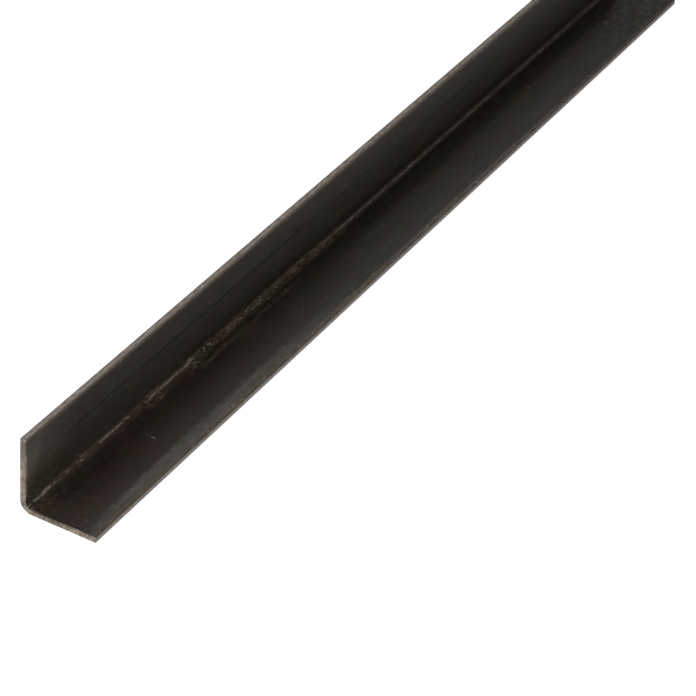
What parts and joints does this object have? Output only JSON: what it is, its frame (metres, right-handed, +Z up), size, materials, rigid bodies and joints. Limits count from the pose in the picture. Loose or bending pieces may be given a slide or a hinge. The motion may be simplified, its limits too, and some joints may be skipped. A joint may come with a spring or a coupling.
{
  "type": "metal angle section",
  "caption": "Equal-leg steel angle, cold-rolled from strip with black mill scale, with a rounded heel and square-sawn ends.",
  "frame": {"origin": "middle of the bar's footprint, on the level that the foot leg lies on", "axes": "+Y along the bar, +Z up along the upright leg, +X from the heel to the toe of the foot leg; the upright leg stands at -X"},
  "size_m": [0.02, 0.3, 0.02],
  "materials": {
    "mill_scale_steel": "untreated mild steel strip with its black mill scale; the slit toe edges and the sawn ends are bare grey steel"
  },
  "bodies": {
    "root": {"angle_section": "mill_scale_steel"}
  },
  "joints": []
}
